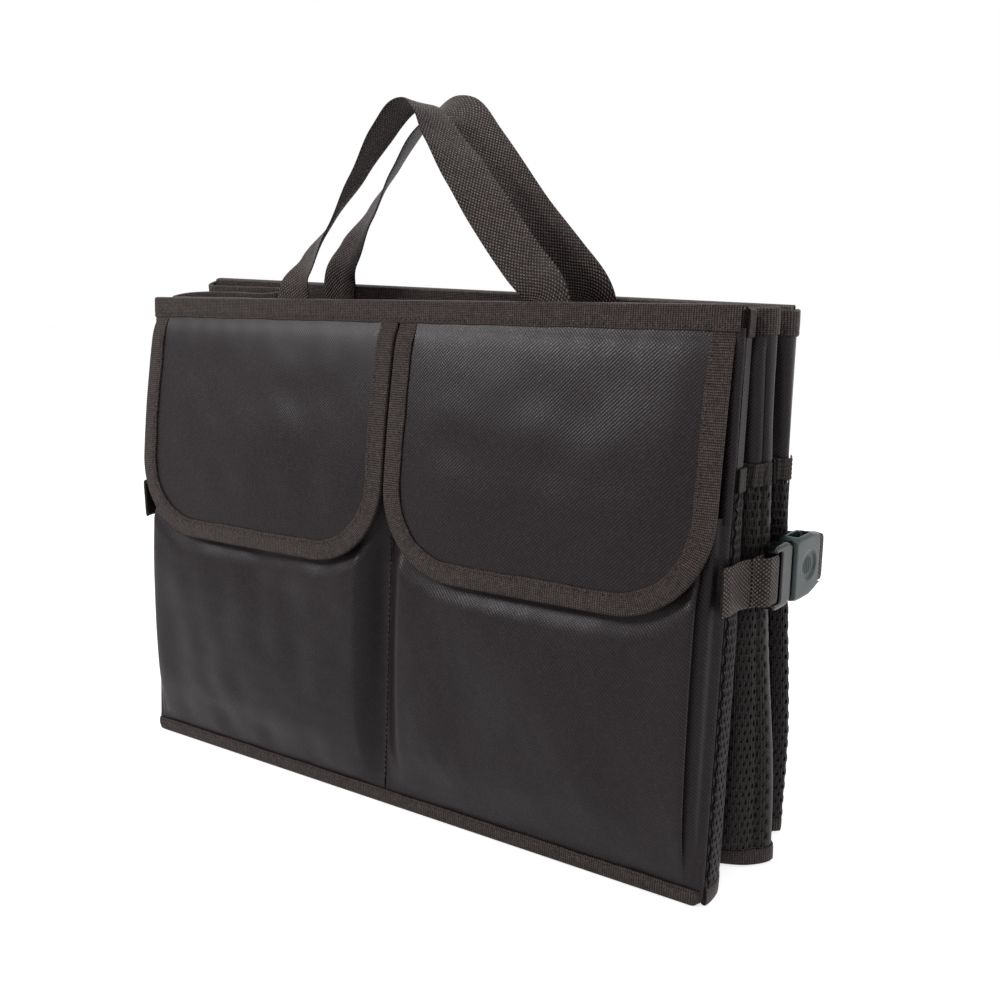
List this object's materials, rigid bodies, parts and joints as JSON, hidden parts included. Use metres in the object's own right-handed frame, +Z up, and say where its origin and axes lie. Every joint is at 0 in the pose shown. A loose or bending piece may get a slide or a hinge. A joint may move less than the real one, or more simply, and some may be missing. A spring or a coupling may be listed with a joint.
{
  "type": "folding car trunk organizer",
  "caption": "Fabric car trunk organizer folded flat, with flapped front pockets, elasticated net pockets on folded end walls, webbing handles and side-release buckles.",
  "frame": {"origin": "on the ground, under the middle of the organizer's box", "axes": "+X along the long panels towards the right end, +Y from the front panel to the back panel, +Z up"},
  "size_m": [0.4542, 0.117, 0.4176],
  "materials": {
    "charcoal_fabric": "twill polyester, matte",
    "binding_tape": "ribbed tape, matte",
    "net": "knitted net, matte",
    "elastic": "ribbed elastic, matte",
    "webbing": "woven webbing, soft sheen",
    "board": "stiff fibre board, hidden",
    "fastening_patch": "hook and loop, matte",
    "plug_plastic": "moulded, glossy black",
    "socket_plastic": "moulded, dark teal grey"
  },
  "bodies": {
    "organizer": {"front_panel_fabric": "charcoal_fabric", "front_panel_lining": "charcoal_fabric", "flap_seam_strip": "charcoal_fabric", "back_panel_fabric": "charcoal_fabric", "back_panel_lining": "charcoal_fabric", "divider_front_fabric": "charcoal_fabric", "divider_rear_fabric": "charcoal_fabric", "front_base_board": "charcoal_fabric", "rear_base_board": "charcoal_fabric", "left_pocket": "charcoal_fabric", "right_pocket": "charcoal_fabric", "left_end_wall": "charcoal_fabric", "right_end_wall": "charcoal_fabric", "front_top_binding": "binding_tape", "front_lower_binding": "binding_tape", "back_top_binding": "binding_tape", "back_lower_binding": "binding_tape", "divider_top_binding": "binding_tape", "divider_lower_binding": "binding_tape", "left_pocket_mouth_binding": "binding_tape", "right_pocket_mouth_binding": "binding_tape", "left_end_top_binding": "binding_tape", "right_end_top_binding": "binding_tape", "left_end_lower_binding": "binding_tape", "right_end_lower_binding": "binding_tape", "left_front_net_pocket": "net", "right_front_net_pocket": "net", "left_rear_net_pocket": "net", "right_rear_net_pocket": "net", "left_front_net_elastic": "elastic", "right_front_net_elastic": "elastic", "left_rear_net_elastic": "elastic", "right_rear_net_elastic": "elastic", "front_handle": "webbing", "rear_handle": "webbing", "left_front_strap": "webbing", "right_front_strap": "webbing", "front_panel_board": "board", "back_panel_board": "board", "divider_board": "board", "left_loop_patch": "fastening_patch", "right_loop_patch": "fastening_patch", "left_buckle_plug": "plug_plastic", "right_buckle_plug": "plug_plastic"},
    "left_flap_body": {"left_flap": "charcoal_fabric", "left_flap_binding": "binding_tape", "left_hook_patch": "fastening_patch"},
    "left_buckle_half": {"left_buckle_socket": "socket_plastic", "left_rear_strap": "webbing"},
    "right_flap_body": {"right_flap": "charcoal_fabric", "right_flap_binding": "binding_tape", "right_hook_patch": "fastening_patch"},
    "right_buckle_half": {"right_buckle_socket": "socket_plastic", "right_rear_strap": "webbing"}
  },
  "joints": [
    {"name": "left_flap_hinge", "type": "hinge", "parent": "organizer", "child": "left_flap_body", "pos_m": [-0.098, -0.0309, 0.2871], "axis": [-1, 0, 0], "range_deg": [0, 165]},
    {"name": "right_flap_hinge", "type": "hinge", "parent": "organizer", "child": "right_flap_body", "pos_m": [0.101, -0.0309, 0.2871], "axis": [-1, 0, 0], "range_deg": [0, 165]},
    {"name": "left_buckle_release", "type": "slide", "parent": "organizer", "child": "left_buckle_half", "axis": [-0.1392, 0.9903, 0], "range_m": [0, 0.028]},
    {"name": "right_buckle_release", "type": "slide", "parent": "organizer", "child": "right_buckle_half", "axis": [0.1392, 0.9903, 0], "range_m": [0, 0.028]}
  ]
}
